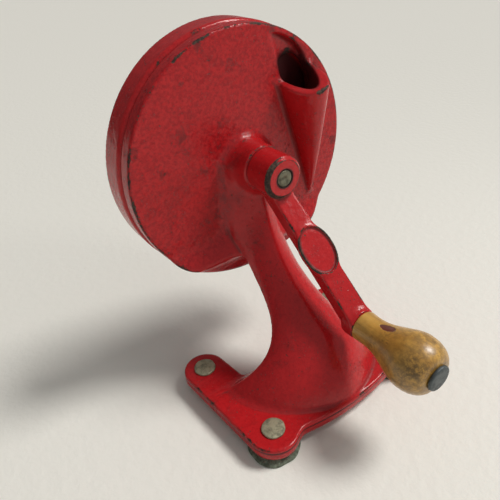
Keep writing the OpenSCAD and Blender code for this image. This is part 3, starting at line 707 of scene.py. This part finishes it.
def red_enamel():
    """Old stoved enamel: glossy, pitted like its casting, worn through at edges."""
    m = Nodes("red enamel")
    sharp = m.add("Attribute", attribute_name="sharp").outputs["Fac"]
    wear = m.add("Attribute", attribute_name="wear").outputs["Fac"]
    skin = m.add("Attribute", attribute_name="skin").outputs["Fac"]
    ragged, broad = m.noise(750, 6, 0.75), m.noise(75, 3)
    level = m.math("MULTIPLY", m.math("SUBTRACT", ragged, 0.5), 1.6)
    level = m.math("ADD", level, m.math("ADD", sharp, wear))
    level = m.math("ADD", level, m.math("MULTIPLY", m.math("SUBTRACT", broad, 0.5), 2.2))
    edge = m.ramp(level, 0.79, 0.88)
    pits = m.math("MULTIPLY", m.ramp(m.noise(520, 2), 0.69, 0.74), m.ramp(broad, 0.44, 0.56))
    specks = m.math("MULTIPLY", m.ramp(m.noise(620, 4, 0.65), 0.60, 0.68),
                    m.ramp(m.noise(48, 4), 0.48, 0.62))
    worn = m.math("MAXIMUM", edge, m.math("MAXIMUM", pits, m.math("MULTIPLY", specks, 0.7)))
    mottle = m.math("SUBTRACT", m.noise(480, 6, 0.75), m.math("MULTIPLY", skin, -0.04))
    mottle = m.math("MULTIPLY", m.ramp(mottle, 0.42, 0.72), m.math("ADD", skin, 0.2))
    red = m.colour(mottle, (0.48, 0.014, 0.017), (0.30, 0.006, 0.010))
    grime = m.math("MULTIPLY", m.ramp(m.noise(38, 6, 0.68), 0.54, 0.74), 0.5)
    # painted shade: concave creases and fillets are darkened
    crease_shade = m.math("MULTIPLY", m.ramp(m.math("MULTIPLY", sharp, -1.0), 0.06, 0.45), 0.62)
    stain = m.math("MULTIPLY", m.ramp(m.noise(95, 5, 0.7), 0.56, 0.70), 0.6)
    # random grime and stains, joined with the painted crease shade
    dirt_and_crease_shade = m.math("MAXIMUM", m.math("MAXIMUM", grime, m.math("MULTIPLY", stain, skin)), crease_shade)
    red = m.colour(dirt_and_crease_shade, red, (0.085, 0.012, 0.012))
    iron = m.colour(m.ramp(m.noise(900, 3), 0.4, 0.65), (0.022, 0.013, 0.010), (0.085, 0.052, 0.036))
    # painted shade of openings and recesses from the solids' mark, with the base's seam line drawn into the
    # same mask
    shade_and_seam = m.math("MULTIPLY", m.add("Attribute", attribute_name="shade_and_seam").outputs["Fac"], 0.88)
    seam = m.math("MULTIPLY", m.seam(0.0104, 0.0007), 0.8)
    shade_and_seam = m.math("MAXIMUM", shade_and_seam, seam)
    # near black where the painted shade falls
    shade = m.colour(shade_and_seam, m.colour(worn, red, iron), (0.012, 0.002, 0.003))
    dull = m.math("MAXIMUM", shade_and_seam, m.math("MAXIMUM", worn, m.math("MULTIPLY", dirt_and_crease_shade, 0.6)))
    m.set(Base_Color=shade, Roughness=m.value(dull, 0.20, 0.68), Specular_IOR_Level=0.32)
    chips = m.math("SUBTRACT", 1.0, worn)
    m.bump((m.noise(150, 3), 0.0004), (m.noise(430, 4, 0.6), 0.0003, skin), (chips, 0.0002))
    return m.material


def steel(name, colour, rough=0.34, metal=1.0, patchy=0.42):
    m = Nodes(name)
    stain = m.ramp(m.noise(260, 5, 0.7), 0.40, 0.68)
    dark = tuple(c * patchy for c in colour)
    m.set(Base_Color=m.colour(stain, colour, dark), Metallic=metal)
    m.set(Roughness=m.value(stain, rough, rough + 0.22))
    m.bump((m.noise(1500, 3), 0.00006), (m.noise(300, 3), 0.0001))
    return m.material


def beech():
    """Golden varnished beech, grubby towards the bulb, with one old dent."""
    m = Nodes("beech")
    grain = m.noise(110, 6, 0.7, (1, 0.16, 1))
    pores = m.noise(900, 3, 0.6, (1, 0.10, 1))
    base = m.colour(m.ramp(grain, 0.33, 0.68), (0.60, 0.335, 0.066), (0.40, 0.205, 0.036))
    grubby = m.math("ADD", m.ramp(m.noise(55, 4, 0.6), 0.36, 0.66), m.ramp(m.place_axis("Y"), -0.045, -0.075))
    grubby = m.math("MULTIPLY", grubby, m.ramp(m.noise(340, 5, 0.7), 0.36, 0.62))
    base = m.colour(m.math("MULTIPLY", grubby, 0.42), base, (0.075, 0.045, 0.018))
    fleck = m.math("MULTIPLY", m.ramp(pores, 0.60, 0.70), 0.5)
    base = m.colour(fleck, base, (0.12, 0.055, 0.02))
    dent = m.patch((0.0125, FACE_Y / 1000 - 0.0967, 0.0646), (0.0022, 0.0052, 0.004))
    m.set(Base_Color=m.colour(dent, base, (0.15, 0.045, 0.028)), Roughness=0.40)
    m.set(Coat_Weight=0.35, Coat_Roughness=0.2)
    m.bump((grain, 0.00015), (m.noise(120, 3), 0.0004), (m.math("SUBTRACT", 1.0, dent), 0.0004))
    return m.material


def rubber():
    m = Nodes("rubber")
    age = m.ramp(m.noise(300, 5, 0.7), 0.4, 0.66)
    m.set(Base_Color=m.colour(age, (0.095, 0.11, 0.075), (0.25, 0.29, 0.215)), Roughness=0.85)
    m.bump((m.noise(500, 5), 0.0010), (m.noise(1500, 2), 0.0003))
    return m.material


def paint(obj, material):
    obj.data.materials.clear()
    obj.data.materials.append(material)


# The object
def dress(obj, node, body, material):
    """Gives a piece its material and puts it in the place of a solid."""
    paint(obj, material)
    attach(obj, body)
    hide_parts(node)


red = red_enamel()
grey_steel = steel("worn steel", (0.21, 0.20, 0.145), 0.42)
blade_steel = steel("ground steel", (0.60, 0.61, 0.62), 0.26)
nickel = steel("dull nickel", (0.40, 0.385, 0.26), 0.50, 0.55)
cap_steel = steel("blued steel", (0.105, 0.12, 0.125), 0.42, 0.75, 0.7)
wood, tyre = beech(), rubber()

dress(body_casting(), "body_casting", "stand", red)
dress(crank_arm(), "crank_arm", "rotor", red)
dress(cutter_wheel(), "cutter_wheel", "rotor", red)
dress(spindle(), "spindle", "rotor", grey_steel)
dress(handle_pin(), "handle_pin", "rotor", cap_steel)
dress(wooden_handle(), "wooden_handle", "grip", wood)

for front in (True, False):
    for side in (-1, 1):
        where = ("front" if front else "rear") + ("_left" if side < 0 else "_right")
        x, y = FRONT_FOOT if front else REAR_FOOT
        phase = 1.7 + 2.1 * side + 0.8 * front
        rim = FOOT_R if front else REAR_FOOT_R
        dress(foot("rubber_" + where, (side * x, y), rim, phase),
              "foot_" + where, "stand", tyre)
        dress(rivet("stud_" + where, (side * x, y), phase),
              "rivet_" + where, "stand", nickel)

for name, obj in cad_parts.items():
    if name in ("knife_1", "knife_2", "knife_3"):
        paint(obj, blade_steel)
    elif name.startswith(("knife_screw", "wheel_washer", "wheel_nut")):
        paint(obj, grey_steel)


# Floor, light and view
def floor():
    """A plain sheet of pale paper, faintly uneven, that fills the view."""
    half = 4.0
    mesh = bpy.data.meshes.new("floor")
    mesh.from_pydata([(-half, -half, 0), (half, -half, 0), (half, half, 0), (-half, half, 0)],
                     [], [(0, 1, 2, 3)])
    obj = link("floor", mesh)
    m = Nodes("paper")
    m.set(Base_Color=(0.84, 0.825, 0.765), Roughness=0.75)
    m.bump((m.noise(160, 3), 0.0004),)
    obj.data.materials.append(m.material)


def sun_light(name, toward, strength, angle, colour=(1, 1, 1)):
    light = bpy.data.lights.new(name, "SUN")
    light.energy, light.angle, light.color = strength, radians(angle), colour
    obj = bpy.data.objects.new(name, light)
    obj.rotation_euler = Vector(toward).to_track_quat("Z", "Y").to_euler()
    bpy.context.scene.collection.objects.link(obj)


def area_light(name, place_at, target, size, power, colour=(1, 1, 1)):
    light = bpy.data.lights.new(name, "AREA")
    light.shape, light.size, light.size_y = "RECTANGLE", size[0], size[1]
    light.energy, light.color = power, colour
    obj = bpy.data.objects.new(name, light)
    obj.location = place_at
    way = Vector(target) - Vector(place_at)
    obj.rotation_euler = way.to_track_quat("-Z", "Y").to_euler()
    bpy.context.scene.collection.objects.link(obj)


def camera():
    """The photograph's view, fitted to the rims, the hub and the rivets."""
    yaw, pitch, roll = radians(-33.17), radians(33.83), radians(-4.85)
    right = Vector((cos(yaw), sin(yaw), 0))
    forward = Vector((-sin(yaw) * cos(pitch), cos(yaw) * cos(pitch), -sin(pitch)))
    up = right.cross(forward)
    across = cos(roll) * right + sin(roll) * up
    upward = -sin(roll) * right + cos(roll) * up
    data = bpy.data.cameras.new("camera")
    data.sensor_width, data.lens = 36.0, 37.0
    obj = bpy.data.objects.new("camera", data)
    matrix = Matrix((across, upward, -forward)).transposed().to_4x4()
    matrix.translation = Vector(place((-145.2, -218.6, 115.6)))
    obj.matrix_world = matrix
    bpy.context.scene.collection.objects.link(obj)
    bpy.context.scene.camera = obj


def room(name, bright, dim, toward):
    """Plain surroundings, a little brighter on the window's side."""
    world = bpy.data.worlds.new(name)
    world.use_nodes = True
    tree = world.node_tree
    place_at = tree.nodes.new("ShaderNodeTexCoord").outputs["Generated"]
    dot = tree.nodes.new("ShaderNodeVectorMath")
    dot.operation = "DOT_PRODUCT"
    dot.inputs[1].default_value = Vector(toward).normalized()
    span = tree.nodes.new("ShaderNodeMapRange")
    span.inputs["From Min"].default_value = -1
    span.inputs["To Min"].default_value = dim
    span.inputs["To Max"].default_value = bright
    tree.links.new(place_at, dot.inputs[0])
    tree.links.new(dot.outputs["Value"], span.inputs["Value"])
    tree.links.new(span.outputs["Result"], tree.nodes["Background"].inputs["Strength"])
    tree.nodes["Background"].inputs["Color"].default_value = (1, 1, 0.98, 1)
    bpy.context.scene.world = world


def studio():
    floor()
    window = (0.66, -0.27, 1.0)
    sun_light("window", window, 2.05, 17, (1, 0.98, 0.95))
    area_light("lamp", (0.26, -0.24, 0.38), (0, 0, 0.13), (0.08, 0.08), 0.34, (1, 0.97, 0.94))
    room("studio", 0.40, 0.05, (0.35, -0.8, 0.5))
    bpy.context.scene.view_settings.view_transform = "Standard"


studio()
camera()
